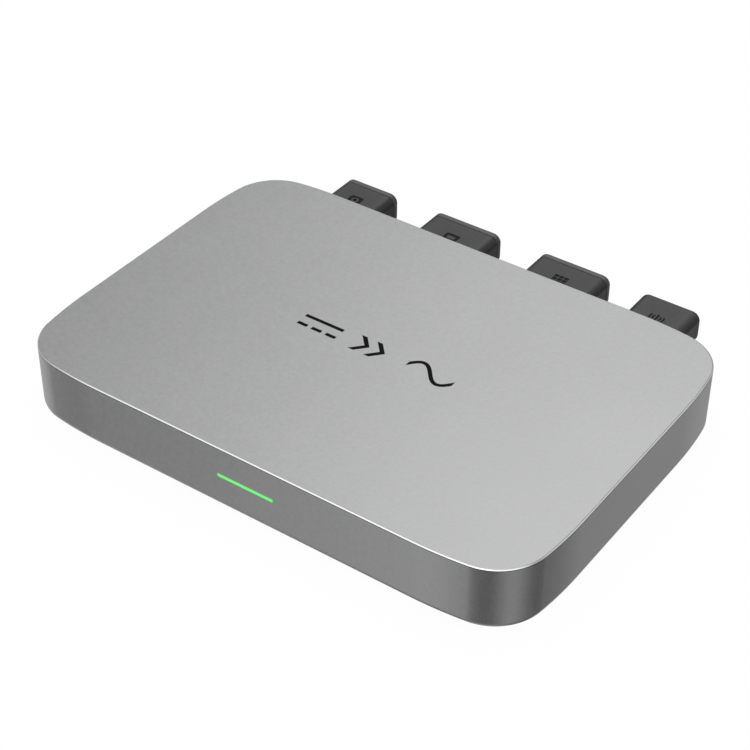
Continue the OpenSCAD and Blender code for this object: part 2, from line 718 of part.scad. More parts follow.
// ---------- terminals ----------
module lug(x, radius) zrod([x, wire_y], radius, pcb_z, lug_z);
module wire_terminals() color("#cfd0d2") {
    for (i = [0, 2]) lug(mains_pins[i], 2.6);
    for (x = batt_pins) lug(x, 3.6);
    for (x = signal_pins) lug(x, 1.1);
    for (x = solar_pins) lug(x, 2.6);
    // copper tracks from the battery lugs towards -Y
    for (x = batt_pins) cbox(x, 50, 5, 14, pcb_z, pcb_z + 1);
}

// ring terminal that bonds the case to the earth wire
earth_wire_y = earth_at[1] + 8;
earth_sleeve_top = plate_z1 + 4;
module earth_terminal() color("#cfd0d2") difference() {
    union() {
        zrod(earth_at, 3.4, plate_z1, plate_z1 + 0.8);
        cbox(earth_at[0], earth_at[1] + 4, 4, 8, plate_z1, plate_z1 + 0.8);
        zrod([earth_at[0], earth_wire_y], 2.2, plate_z1, earth_sleeve_top);
    }
    zrod(earth_at, 1.6, plate_z1 - 1, plate_z1 + 2);
}

module earth_screw() color("#a8a9ab") difference() {
    union() {
        zrod(earth_at, screw_r, 2.8, plate_z1 + 0.9);
        zrod(earth_at, 2.8, plate_z1 + 0.8, plate_z1 + 2.6);
    }
    hex(earth_at, key_r, plate_z1 + 1.7, 2);
}

// ---------- wires ----------
power_wire_r = 1.4;
batt_wire_r = 2.2;
// from a pin's tail to its lug
module lug_wire(x, radius, bend = bend_r)
    wire(x, tail_y, block_z, radius, wire_y, lug_z, bend);

module mains_power_wires() color("#6b3d1c")
    for (i = [0, 2]) lug_wire(mains_pins[i], power_wire_r);
// the earth wire turns to run along -X above the board, then down to its ring terminal
module mains_earth_wire() color("#4e9a2e") union() {
    x = mains_pins[1];
    y = earth_wire_y;
    radius = 1.2;
    bend = 3;
    yrod(x, block_z, radius, y + bend, tail_y);
    translate([x - bend, y + bend, block_z]) rotate([0, 0, -90]) elbow(radius, bend);
    xrod(earth_at[0] + bend, y, block_z, radius, x - 2 * bend - earth_at[0]);
    translate([earth_at[0] + bend, y, block_z - bend]) rotate([90, 0, 180]) elbow(radius, bend);
    zrod([earth_at[0], y], radius, earth_sleeve_top, block_z - bend);
}
module dc_positive_wires() color("#b3201c") {
    lug_wire(batt_pins[0], batt_wire_r);
    for (i = [0, 2]) lug_wire(solar_pins[i], power_wire_r);
}
module dc_negative_wires() color("#1a1a1a") {
    lug_wire(batt_pins[1], batt_wire_r);
    for (i = [1, 3]) lug_wire(solar_pins[i], power_wire_r);
}
module battery_signal_wires() color("#d9b13b") for (x = signal_pins) lug_wire(x, 0.55, 2.5);

top_shell();
base_plate();
base_gasket();
base_screws();
vent_plug();
vent_membrane();
light_bar();
light_bar_holder();
led_board();
leds();
led_board_screws();
led_harness();
mains_port_housing();
battery_port_housing();
solar_port_housing();
antenna_housing();
mains_port_insert();
battery_port_insert();
solar_port_insert();
mains_port_pins();
battery_port_pins();
solar_port_pins();
port_flange_gaskets();
port_flange_screws();
port_mating_seals();
mains_port_cap();
battery_port_cap();
solar_port_cap();
antenna_board();
antenna_cable();
main_board();
insulation_sheet();
board_standoffs();
board_screws();
transformer_cores();
transformer_windings();
transformer_bobbins();
choke_cores();
choke_windings();
choke_bases();
bus_capacitors();
film_capacitors();
grid_relays();
surge_varistors();
fuse();
heat_spreader();
thermal_pad();
power_transistors();
transistor_clips();
control_chips();
wireless_board();
wireless_shield();
wire_terminals();
earth_terminal();
earth_screw();
mains_power_wires();
mains_earth_wire();
dc_positive_wires();
dc_negative_wires();
battery_signal_wires();
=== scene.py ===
"""Flat metal case with rounded corners, connector blocks and a status light.

The case lies flat with its top towards +Z and its middle on the Z axis. The mains, battery,
solar and antenna blocks stick out at the back (+Y); the light bar is in the front side (-Y).
Shapes are worked out in millimetres and scaled to metres when their mesh is made.
"""
import math
import bmesh
import bpy
from mathutils import Matrix, Vector


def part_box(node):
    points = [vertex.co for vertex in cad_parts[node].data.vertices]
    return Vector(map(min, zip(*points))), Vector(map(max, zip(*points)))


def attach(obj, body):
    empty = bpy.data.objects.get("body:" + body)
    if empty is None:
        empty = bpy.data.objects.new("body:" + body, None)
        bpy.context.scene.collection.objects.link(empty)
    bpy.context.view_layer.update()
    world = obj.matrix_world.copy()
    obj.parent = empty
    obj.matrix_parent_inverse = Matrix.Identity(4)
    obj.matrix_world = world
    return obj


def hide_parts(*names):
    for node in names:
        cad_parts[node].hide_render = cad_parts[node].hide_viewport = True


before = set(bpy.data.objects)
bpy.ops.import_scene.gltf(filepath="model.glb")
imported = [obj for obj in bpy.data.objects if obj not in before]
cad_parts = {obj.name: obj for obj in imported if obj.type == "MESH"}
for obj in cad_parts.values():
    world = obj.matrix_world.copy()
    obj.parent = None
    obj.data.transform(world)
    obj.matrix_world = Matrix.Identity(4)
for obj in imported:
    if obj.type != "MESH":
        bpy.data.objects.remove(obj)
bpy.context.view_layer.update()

MM = 0.001                        # metres in a millimetre


def node_box(name):
    """Low and high corner of a CAD node, in millimetres."""
    low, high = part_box(name)
    return [v / MM for v in low], [v / MM for v in high]


# ------------------------------------------------------------------ sizes, in millimetres
# case: half length, half depth, lower edge and top of the upper shell
(_, _, SHELL_Z0), (HALF_X, HALF_Y, SHELL_Z1) = node_box("top_shell")
CHAMFER = 0.5                     # bright cut around the top
EDGE_R = 3.5                      # rounding of the lower edge
LEAD_R, CORNER_R = 180.0, 23.5    # arcs of a corner: lead-in, corner, lead-in
LEAD_TURN = 7.5                   # degrees turned by a lead-in arc
WALL, TOP_T = 3.0, 2.6
LIP_IN, LIP_T = 7.0, 3.0          # lip under the shell: reach from the outline, thickness

# light bar
BAR_W, BAR_H, BAR_R = 27.5, 1.9, 0.94
BAR_GAP = 0.1                     # how much wider and higher its slot is
bar_low, bar_high = node_box("light_bar")
BAR_Z = (bar_low[2] + bar_high[2]) / 2

# connector blocks
PORT_Z, PORT_H, PORT_R = 16.5, 15.0, 4.0
PORT_TOP = PORT_Z + PORT_H / 2
PORT_WALL = 2.0
PORT_GAP = 0.3                    # how much wider and higher the openings in the shell are
FLANGE_MARGIN = 6.0               # reach of the flange past the block, at either end
ICON_Y, ICON_DEPTH = 97.0, 0.3    # pictogram recesses on top of the blocks

SHARP_PLAIN, SHARP_CUT = 28.0, 30.0   # edges turning more degrees than this stay sharp


class Port:
    """Place and size of a connector block, read from its CAD nodes."""
    def __init__(self, key, housing, capped=True):
        low, high = node_box(housing)
        self.key = key
        self.housing = housing
        self.capped = capped
        self.x = (low[0] + high[0]) / 2
        self.width = high[0] - low[0] - 2 * FLANGE_MARGIN
        self.y_in, self.y_out = low[1], high[1]
        if capped:
            self.cap = key + "_port_cap"
            self.cap_end = node_box(self.cap)[1][1]


PORTS = [
    Port("mains", "mains_port_housing"),
    Port("battery", "battery_port_housing"),
    Port("solar", "solar_port_housing"),
    Port("antenna", "antenna_housing", capped=False),
]


# ------------------------------------------------------------------ mesh helpers
def finish_mesh(bm, name, weighted=True):
    """Turns a bmesh in millimetres into a linked, shaded object in metres."""
    bmesh.ops.recalc_face_normals(bm, faces=bm.faces)
    mesh = bpy.data.meshes.new(name)
    bm.to_mesh(mesh)
    bm.free()
    mesh.transform(Matrix.Scale(MM, 4))
    ob = bpy.data.objects.new(name, mesh)
    bpy.context.scene.collection.objects.link(ob)
    shade(ob, SHARP_PLAIN, weighted)
    return ob


def shade(ob, sharp, weighted=True):
    """Smooth faces, edges sharp from the given angle on, and weighted normals."""
    mesh = ob.data
    for face in mesh.polygons:
        face.use_smooth = True
    bm = bmesh.new()
    bm.from_mesh(mesh)
    limit = math.radians(sharp)
    for edge in bm.edges:
        edge.smooth = len(edge.link_faces) == 2 and edge.calc_face_angle(0.0) < limit
    bm.to_mesh(mesh)
    bm.free()
    if weighted and not any(m.type == "WEIGHTED_NORMAL" for m in ob.modifiers):
        normals = ob.modifiers.new("weighted", "WEIGHTED_NORMAL")
        normals.mode = "FACE_AREA"
        normals.keep_sharp = True


def apply_modifiers(ob):
    graph = bpy.context.evaluated_depsgraph_get()
    mesh = bpy.data.meshes.new_from_object(
        ob.evaluated_get(graph), preserve_all_data_layers=True, depsgraph=graph)
    ob.modifiers.clear()
    old = ob.data
    ob.data = mesh
    mesh.name = ob.name
    bpy.data.meshes.remove(old)


def cut(ob, cutters, sharp=SHARP_CUT):
    """Subtracts the cutters from ob, removes them and shades the result."""
    for cutter in cutters:
        mod = ob.modifiers.new("cut", "BOOLEAN")
        mod.operation = "DIFFERENCE"
        mod.solver = "EXACT"
        mod.object = cutter
    apply_modifiers(ob)
    for cutter in cutters:
        mesh = cutter.data
        bpy.data.objects.remove(cutter)
        bpy.data.meshes.remove(mesh)
    shade(ob, sharp)


def add_row(bm, points):
    return [bm.verts.new(p) for p in points]


def add_band(bm, row, following, slot=0):
    """Closed band of quads between two rows with the same count."""
    n = len(row)
    for i in range(n):
        j = (i + 1) % n
        face = bm.faces.new((row[i], row[j], following[j], following[i]))
        face.material_index = slot


def loft(rings, name):
    """Closed solid through rings of points, all with the same count."""
    bm = bmesh.new()
    rows = [add_row(bm, ring) for ring in rings]
    for row, following in zip(rows, rows[1:]):
        add_band(bm, row, following)
    bm.faces.new(rows[0][::-1])
    bm.faces.new(rows[-1])
    return finish_mesh(bm, name)


def arc(cx, cy, radius, start, end, steps, last=True):
    """Points on an arc between two angles in degrees, with or without the last one."""
    angles = [math.radians(start + (end - start) * i / steps)
              for i in range(steps + (1 if last else 0))]
    return [(cx + radius * math.cos(a), cy + radius * math.sin(a)) for a in angles]


def rounded_rect(cx, cy, size, radius, steps):
    """Counter-clockwise rounded rectangle; steps is per corner."""
    w, h = size
    points = []
    for side_x, side_y, start in ((1, 1, 0), (-1, 1, 90), (-1, -1, 180), (1, -1, 270)):
        points += arc(cx + side_x * (w / 2 - radius), cy + side_y * (h / 2 - radius),
                      radius, start, start + 90, steps)
    return points


def y_bar(x, z, size, radius, span, steps=8, round0=0.0, round1=0.0, name="cutter"):
    """Rounded bar along Y over span; round0 and round1 soften its low and high end."""
    end_steps = 4
    smallest_radius = 0.05
    y0, y1 = span
    angles = [math.radians(90 * i / end_steps) for i in range(end_steps + 1)]
    stations = [(0, y0)]                    # inset, y
    if round0 > 0:
        stations = [(round0 * (1 - math.sin(a)), y0 + round0 * (1 - math.cos(a)))
                    for a in angles]
    if round1 > 0:
        stations += [(round1 * (1 - math.cos(a)), y1 - round1 * (1 - math.sin(a)))
                     for a in angles]
    else:
        stations.append((0, y1))
    rings = []
    for inset, y in stations:
        section = rounded_rect(x, z, (size[0] - 2 * inset, size[1] - 2 * inset),
                               max(radius - inset, smallest_radius), steps)
        rings.append([(px, y, pz) for px, pz in section])
    return loft(rings, name)


def prism(loop, span):
    """Upright cutter over a plan loop."""
    return loft([[(x, y, z) for x, y in loop] for z in span], "cutter")


def ring_prism(outer, inner, span):
    """Upright cutter between two plan loops with the same count."""
    bm = bmesh.new()
    out0, out1, in0, in1 = [add_row(bm, [(x, y, z) for x, y in loop])
                            for loop in (outer, inner) for z in span]
    n = len(out0)
    for i in range(n):
        j = (i + 1) % n
        bm.faces.new((out0[i], out0[j], out1[j], out1[i]))
        bm.faces.new((in0[j], in0[i], in1[i], in1[j]))
        bm.faces.new((out1[i], out1[j], in1[j], in1[i]))
        bm.faces.new((out0[j], out0[i], in0[i], in0[j]))
    return finish_mesh(bm, "cutter")


def set_materials(ob, *materials):
    # clear() also resets the faces' slots, so it is left out when there is nothing to clear
    if len(ob.data.materials):
        ob.data.materials.clear()
    for material in materials:
        ob.data.materials.append(material)


# ------------------------------------------------------------------ shader helpers
class Value:
    """An output socket; float ones can be used in sums."""
    def __init__(self, tree, socket):
        self.tree = tree
        self.socket = socket

    def math(self, operation, *others, use_clamp=False):
        return self.tree.value("Math", dict(enumerate((self,) + others)),
                               operation=operation, use_clamp=use_clamp)

    def __add__(self, other): return self.math("ADD", other)
    def __sub__(self, other): return self.math("SUBTRACT", other)
    def __mul__(self, other): return self.math("MULTIPLY", other)
    def __truediv__(self, other): return self.math("DIVIDE", other)
    def abs(self): return self.math("ABSOLUTE")
    def min(self, other): return self.math("MINIMUM", other)
    def max(self, other): return self.math("MAXIMUM", other)
    def sin(self): return self.math("SINE")
    def clamp(self): return self.math("ADD", 0.0, use_clamp=True)

    def step(self, start, end):
        """Smoothly from 0 at start to 1 at end."""
        return self.tree.value("MapRange", {0: self, 1: start, 2: end, 3: 0.0, 4: 1.0},
                               interpolation_type="SMOOTHSTEP")

    def spread(self, low, high, start=0.3, end=0.7):
        """Linear, from low at start to high at end; the defaults are a noise's usual range."""
        return self.tree.value("MapRange", {0: self, 1: start, 2: end, 3: low, 4: high})


class Tree:
    """Node tree of a material or world, emptied and ready for new nodes."""
    def __init__(self, owner):
        owner.use_nodes = True
        self.tree = owner.node_tree
        self.tree.nodes.clear()

    def feed(self, value, socket):
        if isinstance(value, Value):
            self.tree.links.new(value.socket, socket)
        elif socket.type == "RGBA":
            socket.default_value = (*value, 1.0)
        else:
            socket.default_value = value

    def node(self, kind, inputs=None, **settings):
        node = self.tree.nodes.new("ShaderNode" + kind)
        for key, setting in settings.items():
            setattr(node, key, setting)
        for key, value in (inputs or {}).items():
            self.feed(value, node.inputs[key])
        return node

    def value(self, kind, inputs=None, output=0, **settings):
        return Value(self, self.node(kind, inputs, **settings).outputs[output])

    def xyz(self, vector):
        return [Value(self, out) for out in self.node("SeparateXYZ", {0: vector}).outputs]

    def mix_shaders(self, factor, first, second):
        return self.value("MixShader", {0: factor, 1: first, 2: second})


class Surface(Tree):
    """A material with one principled shader; textures lie in object coordinates (metres)."""
    def __init__(self, name):
        self.material = bpy.data.materials.new(name)
        super().__init__(self.material)
        self.shader = self.node("BsdfPrincipled")
        self.node("OutputMaterial", {0: Value(self, self.shader.outputs[0])})
        self.coords = self.value("TexCoord", output="Object")

    def scaled(self, factors):
        return self.value("Mapping", {0: self.coords, "Scale": factors})

    def noise(self, scale, detail=3, rough=0.6, z_factor=None):
        coords = self.scaled((1, 1, z_factor)) if z_factor else self.coords
        return self.value("TexNoise", {"Vector": coords, "Scale": scale, "Detail": detail,
                                       "Roughness": rough}, "Fac")

    def cells(self, scale):
        return self.value("TexVoronoi", {"Vector": self.coords, "Scale": scale},
                          "Distance", feature="F1")

    def mix(self, factor, first, second):
        return self.value("Mix", {"Factor": factor, 6: first, 7: second}, 2,
                          data_type="RGBA")

    def bump(self, height, strength, distance, under=None):
        """Bumped normal, on top of another one if given; distance is in metres."""
        inputs = {"Strength": strength, "Distance": distance, "Height": height}
        if under:
            inputs["Normal"] = under
        return self.value("Bump", inputs)

    def facing_up(self):
        """1 on faces that look up, 0 on upright and lower ones; the mask of the painted shade.
        """
        return self.xyz(self.value("NewGeometry", output="Normal"))[2].step(0.74, 0.955)

    def edge_wear(self):
        """1 on outer edges."""
        return self.value("NewGeometry", output="Pointiness").step(0.52, 0.6)

    def finish(self, color, rough, normal, **levels):
        """Feeds the shader; levels are other inputs, with _ for a space."""
        inputs = {"Base Color": color, "Roughness": rough, "Normal": normal}
        inputs.update((key.replace("_", " "), level) for key, level in levels.items())
        for key, value in inputs.items():
            self.feed(value, self.shader.inputs[key])
        return self.material


def tint(rgb, factor, lift=0.0):
    return tuple(min(1.0, c * factor + lift) for c in rgb)


# ------------------------------------------------------------------ materials
def mark_distance(x, y):
    """Distance (mm) to the printed marks along X: dashes, two chevrons, a wave."""
    half_stroke = 0.9

    def dash(cx, cy, half_w):
        return ((x - cx).abs() - half_w).max((y - cy).abs() - half_stroke)

    # a long dash with three short ones beside it
    dashes = dash(-26.5, 2.9, half_w=9.6)
    for dash_x in (-33.6, -26.5, -19.4):
        dashes = dashes.min(dash(dash_x, -2.9, half_w=2.5))

    slant, half_w, half_h = 0.9, 1.3, 5.2
    y_abs = y.abs()

    def chevron(cx):
        return (((x - cx) + y_abs * slant).abs() - half_w).max(y_abs - half_h)
    chevrons = chevron(-3.2).min(chevron(4.4))

    # one sine period, its width evened out by the slope and its ends cut off
    middle, half_period, height, half_length = 27.6, 11.4, 4.4, 11.2
    phase = (x - middle) * (math.pi / half_period)
    slope = (phase + math.pi / 2).sin() * (height * math.pi / half_period)
    run = (slope * slope + 1.0).math("POWER", 0.5)
    wave = ((y + phase.sin() * height).abs() / run - half_stroke).max(
        (x - middle).abs() - half_length)
    return dashes.min(chevrons).min(wave)


def anodised(name, tone, rough, mark=False):
    """Blasted and anodised metal, with the printed marks on the shell's top if asked for."""
    s = Surface(name)
    broad = s.noise(scale=18, detail=2, rough=0.5)
    mottle = s.noise(scale=620, detail=4, rough=0.65)
    fine = s.noise(scale=3800, detail=2)
    blast = s.cells(scale=2600)
    vary = broad.spread(-0.012, 0.012) + mottle.spread(-0.048, 0.048) + fine.spread(-0.02, 0.02)
    color = s.mix((vary * 6 + 0.5).clamp(),
                  tint((0.90, 0.903, 0.912), tone), tint((1.10, 1.103, 1.112), tone))
    roughness = (mottle.spread(rough - 0.03, rough + 0.03)
                 + blast.spread(-0.015, 0.015, start=0.0, end=0.6))
    if mark:
        x, y, z = s.xyz(s.coords)
        inside = mark_distance(x * 1000.0, y * 1000.0) * -1.0
        on_top = (z * 1000.0).step(SHELL_Z1 - 0.3, SHELL_Z1 - 0.1)
        ink = inside.step(-0.08, 0.10) * on_top
        color = s.mix(ink, color, (0.012, 0.012, 0.013))
        roughness = roughness + ink * 0.16
    grain = s.bump(blast, strength=0.10, distance=0.00006)
    normal = s.bump(mottle, strength=0.10, distance=0.00012, under=grain)
    return s.finish(color, roughness, normal, Metallic=1.0)


def cut_metal(name, tone, rough):
    """Bright cut edge with fine lines along the cut."""
    s = Surface(name)
    lines = s.noise(scale=300, detail=2, rough=0.5, z_factor=40)
    soft = s.noise(scale=60, detail=2, rough=0.5)
    return s.finish(
        s.mix(soft, (tone * 0.95,) * 3, (tone,) * 3),
        lines.spread(rough - 0.03, rough + 0.06),
        s.bump(lines, strength=0.06, distance=0.00004), Metallic=1.0)


def cast_metal(name, tone, rough):
    s = Surface(name)
    sand = s.cells(scale=1500)
    cloud = s.noise(scale=35, detail=4)
    fine = s.noise(scale=2500)
    grain = s.bump(sand, strength=0.25, distance=0.00015)
    return s.finish(
        s.mix(cloud.step(0.3, 0.7), (tone * 0.88,) * 3, tint((1.1, 1.1, 1.11), tone)),
        cloud.spread(rough - 0.07, rough + 0.07),
        s.bump(fine, strength=0.2, distance=0.0001, under=grain), Metallic=1.0)


def plastic(name, rgb, rough=0.5, texture=1.0, specular=0.5, side=1.0):
    """Moulded plastic, lighter on worn edges; side paints shade on faces that don't look up, in
    place of the shade the floor would throw.
    """
    s = Surface(name)
    spark = s.cells(scale=2200)
    fine = s.noise(scale=3000)
    cloud = s.noise(scale=45, rough=0.55)
    vary = (cloud.spread(0.25, 0.75) + fine.spread(-0.25, 0.25)).clamp()
    color = s.mix(vary, tint(rgb, 0.88), tint(rgb, 1.12))
    wear = s.edge_wear()
    color = s.mix(wear * 0.35, color, tint(rgb, 1.6, lift=0.02))
    # painted shade: faces that don't look up get the darker tint(rgb, side)
    if side < 1:
        color = s.mix(s.facing_up(), tint(rgb, side), color)
    grain = s.bump(spark, strength=0.16 * texture, distance=0.0001)
    return s.finish(
        color, cloud.spread(rough - 0.05, rough + 0.05) - wear * 0.06,
        s.bump(fine, strength=0.12 * texture, distance=0.00008, under=grain),
        Specular_IOR_Level=specular)


def rubber(name, rgb, rough, side=1.0):
    """Rubber; side paints shade on faces that don't look up, in place of the shade the floor
    would throw.
    """
    s = Surface(name)
    fine = s.noise(scale=1800, detail=4)
    cloud = s.noise(scale=60, rough=0.5)
    color = s.mix(cloud.step(0.3, 0.7), tint(rgb, 0.9), tint(rgb, 1.12))
    # painted shade: faces that don't look up get the darker tint(rgb, side)
    if side < 1:
        color = s.mix(s.facing_up(), tint(rgb, side), color)
    return s.finish(
        color, cloud.spread(rough - 0.06, rough + 0.06),
        s.bump(fine, strength=0.15, distance=0.0001),
        Specular_IOR_Level=0.4, Sheen_Weight=0.15)


def turned_metal(name, rgb, rough):
    s = Surface(name)
    lines = s.noise(scale=900, z_factor=12)
    cloud = s.noise(scale=150)
    return s.finish(
        s.mix(cloud.step(0.3, 0.75), tint(rgb, 0.85), tint(rgb, 1.1)),
        lines.spread(rough - 0.06, rough + 0.08),
        s.bump(lines, strength=0.12, distance=0.00006), Metallic=1.0)


def board(name, rgb):
    """Solder mask over copper tracks, with bare pads."""
    s = Surface(name)
    tracks = s.value("TexBrick", {"Vector": s.scaled((1000, 1000, 1000)), "Scale": 0.16,
                                  "Mortar Size": 0.06}, "Fac")
    cloud = s.noise(scale=90)
    pads = s.cells(scale=260).step(0.18, 0.12)
    color = s.mix(tracks * 0.6, tint(rgb, 0.8), tint(rgb, 1.5))
    color = s.mix(cloud * 0.3, color, tint(rgb, 0.6))
    color = s.mix(pads, color, (0.62, 0.61, 0.58))
    return s.finish(color, cloud.spread(0.22, 0.36),
                    s.bump(tracks + pads, strength=0.2, distance=0.00008))


def windings(name, rgb):
    """Wire turns side by side along X."""
    s = Surface(name)
    turns = s.value("TexWave", {"Vector": s.coords, "Scale": 320, "Distortion": 0.4},
                    "Fac", bands_direction="X")
    cloud = s.noise(scale=200)
    color = s.mix(turns, tint(rgb, 0.5), rgb)
    color = s.mix(cloud * 0.3, color, tint(rgb, 0.5))
    return s.finish(color, cloud.spread(0.28, 0.4),
                    s.bump(turns, strength=0.4, distance=0.0002), Metallic=0.5)


def glow(name, rgb, strength):
    """Lit diffuser: dimmer at its ends and along its upper and lower edges."""
    s = Surface(name)
    x, _, z = s.xyz(s.coords)
    fine = s.noise(scale=1500)
    along = (x * 1000.0).abs().step(BAR_W / 2 + 0.1, BAR_W / 2 - 0.9)
    core = (z * 1000.0 - (BAR_Z - 0.06)).abs().step(0.95, 0.65)
    hot = fine.spread(0.97, 1.03) * (along * core).spread(0.3, 1.0, start=0, end=1)
    return s.finish(
        s.mix(fine * 0.3, (0.03, 0.20, 0.05), (0.05, 0.30, 0.07)), 0.45,
        s.bump(fine, strength=0.08, distance=0.00005),
        Emission_Color=rgb, Emission_Strength=hot * strength)


SHELL = anodised("anodised_shell", tone=0.62, rough=0.38, mark=True)
CUT_EDGE = cut_metal("cut_edge", tone=0.92, rough=0.2)
# painted shade: a dark line under the bright cut, in place of the shade of a groove
PAINTED_SHADE_LINE = anodised("painted_shade_line", tone=0.10, rough=0.42)
# side=0.46 paints shade on the blocks' faces that don't look up
PORT_PLASTIC = plastic("port_plastic", (0.073, 0.0735, 0.075), rough=0.36, specular=0.36,
                       side=0.46)
ICON_RECESS = plastic("pictogram_recess", (0.03, 0.03, 0.031), rough=0.8, texture=0.6,
                      specular=0.12)
# side=0.5 paints shade on the caps' faces that don't look up
CAP_SILICONE = rubber("cap_silicone", (0.128, 0.1285, 0.13), rough=0.46, side=0.5)
STATUS_GLOW = glow("status_light", (0.20, 0.78, 0.22), strength=1.0)


# ------------------------------------------------------------------ upper shell
def case_outline(inset):
    """The case outline: three tangent arcs in every corner, moved inwards by inset."""
    lead_steps, corner_steps = 10, 40
    turn = math.radians(LEAD_TURN)
    # from the case's side to where a lead-in arc starts on the side next to it
    reach = (CORNER_R * (math.cos(turn) - math.sin(turn))
             + LEAD_R * (1 + math.sin(turn) - math.cos(turn)))
    side = (HALF_X - LEAD_R, HALF_Y - reach)
    corner = (side[0] + (LEAD_R - CORNER_R) * math.cos(turn),
              side[1] + (LEAD_R - CORNER_R) * math.sin(turn))
    back = (HALF_X - reach, HALF_Y - LEAD_R)
    quarter = (arc(*side, LEAD_R - inset, 0, LEAD_TURN, lead_steps, last=False)
               + arc(*corner, CORNER_R - inset, LEAD_TURN, 90 - LEAD_TURN, corner_steps,
                     last=False)
               + arc(*back, LEAD_R - inset, 90 - LEAD_TURN, 90, lead_steps))
    return (quarter + [(-x, y) for x, y in quarter[::-1]]
            + [(-x, -y) for x, y in quarter] + [(x, -y) for x, y in quarter[::-1]])


def shell_skin():
    """Hollow shell, open below, with a lip turned inwards along its lower edge."""
    outer = [(LIP_IN, SHELL_Z0), (EDGE_R + 0.02, SHELL_Z0)]       # inset, z
    for i in range(11):
        a = math.radians(9 * i)
        outer.append((EDGE_R * (1 - math.sin(a)), SHELL_Z0 + EDGE_R * (1 - math.cos(a))))
    # a painted shade line under the bright cut, an eased line above it
    outer += [(0, SHELL_Z1 - CHAMFER - 0.32), (0.012, SHELL_Z1 - CHAMFER - 0.012)]
    cut_row = len(outer) - 1
    outer += [(CHAMFER - 0.12, SHELL_Z1 - 0.125), (CHAMFER + 0.06, SHELL_Z1 - 0.042),
              (CHAMFER + 0.26, SHELL_Z1)]
    inner = [(WALL, SHELL_Z1 - TOP_T), (WALL, SHELL_Z0 + LIP_T), (LIP_IN, SHELL_Z0 + LIP_T)]

    bm = bmesh.new()
    out_rows, in_rows = [
        [add_row(bm, [(x, y, z) for x, y in case_outline(inset)]) for inset, z in stations]
        for stations in (outer, inner)]
    # slot 2 is the painted shade line, slot 1 the bright cut
    slots = {cut_row - 1: 2, cut_row: 1}
    for k, (row, following) in enumerate(zip(out_rows, out_rows[1:])):
        add_band(bm, row, following, slots.get(k, 0))
    bm.faces.new(out_rows[-1])
    bm.faces.new(in_rows[0][::-1])
    add_band(bm, in_rows[0], in_rows[1])
    add_band(bm, in_rows[1], in_rows[2])
    add_band(bm, in_rows[2], out_rows[0])
    skin = finish_mesh(bm, "shell_skin", weighted=False)
    set_materials(skin, SHELL, CUT_EDGE, PAINTED_SHADE_LINE)
    return skin


def upper_shell():
    """The shell with the light bar's slot and an opening for every connector block."""
    skin = shell_skin()
    cutters = [y_bar(0, BAR_Z, (BAR_W + BAR_GAP, BAR_H + BAR_GAP), BAR_R + BAR_GAP / 2,
                     (-HALF_Y - 2, -HALF_Y + WALL + 1), steps=10)]
    for port in PORTS:
        cutters.append(y_bar(port.x, PORT_Z, (port.width + PORT_GAP, PORT_H + PORT_GAP),
                             PORT_R + PORT_GAP / 2, (HALF_Y - WALL - 2, HALF_Y + 2),
                             steps=10))
    cut(skin, cutters, SHARP_PLAIN)
    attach(skin, "case")
    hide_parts("top_shell")


upper_shell()


# ------------------------------------------------------------------ connector blocks
def icon_cutters(port):
    """Cutters of the shallow pictogram on top of a block."""
    x, y = port.x, ICON_Y
    span = (PORT_TOP - ICON_DEPTH, PORT_TOP + 1)
    if port.key == "mains":                 # rounded square ring with a dot in it
        return [ring_prism(rounded_rect(x, y, (6.8, 6.0), 1.4, steps=6),
                           rounded_rect(x, y, (3.6, 3.6), 1.79, steps=6), span),
                prism(rounded_rect(x, y, (2.2, 2.2), 1.09, steps=6), span)]
    if port.key == "battery":               # rectangular ring
        return [ring_prism(rounded_rect(x, y, (7.2, 5.4), 1.0, steps=6),
                           rounded_rect(x, y, (4.0, 2.1), 0.3, steps=6), span)]
    if port.key == "solar":                 # three by three tiles
        return [prism(rounded_rect(x + dx, y + dy, (2.0, 1.8), 0.15, steps=2), span)
                for dx in (-2.4, 0, 2.4) for dy in (-2.2, 0, 2.2)]
    # antenna: a bar with two arcs on either side
    cutters = [prism(rounded_rect(x, y, (0.9, 4.8), 0.2, steps=2), span)]
    stroke, steps = 0.75, 20
    for radius in (2.1, 3.5):
        half = math.degrees(math.asin((1 + radius * 0.25) / radius))
        for middle in (0, 180):
            start, end = middle - half, middle + half
            loop = (arc(x, y, radius, start, end, steps)
                    + arc(x, y, radius - stroke, end, start, steps))
            cutters.append(prism(loop, span))
    return cutters


def paint_recess(block):
    """Gives the floors and walls of the pictogram recess the second material slot."""
    for face in block.data.polygons:
        x, y, z = face.center / MM
        depth = PORT_TOP - z
        if (abs(x - block["cx"]) < 5 and abs(y - ICON_Y) < 4.2
                and 0.02 < depth < ICON_DEPTH + 0.05):
            face.material_index = 1


def port_block(port):
    """Block reaching out of the back of the case, hollow inside."""
    x, w = port.x, port.width
    y_in, y_out = port.y_in, port.y_out
    block = y_bar(x, PORT_Z, (w, PORT_H), PORT_R, (y_in, y_out), steps=14,
                  round1=0.5 if port.capped else 0.9, name="port_" + port.key)
    block["cx"] = x
    cavity = (w - 2 * PORT_WALL, PORT_H - 2 * PORT_WALL)
    cutters = icon_cutters(port)
    if port.capped:
        # mouth open at the back, a narrower passage into the case, two slots underneath
        cutters.append(y_bar(x, PORT_Z, cavity, 2.4, (y_out - 16, y_out + 1)))
        cutters.append(y_bar(x, PORT_Z, (w - 8, 8), 1.6, (y_in - 1, y_out - 15), steps=6))
        for side in (-1, 1):
            cutters.append(y_bar(x + side * (w / 2 - 9), PORT_Z - PORT_H / 2 + 1.0,
                                 (4.4, 4.0), 0.3, (y_out - 9, y_out - 5.5), steps=3))
    else:
        # hollow from inside the case, closed at the back
        cutters.append(y_bar(x, PORT_Z, cavity, 2.4, (y_in - 1, y_out - PORT_WALL)))
    cut(block, cutters)
    set_materials(block, PORT_PLASTIC, ICON_RECESS)
    paint_recess(block)
    return block


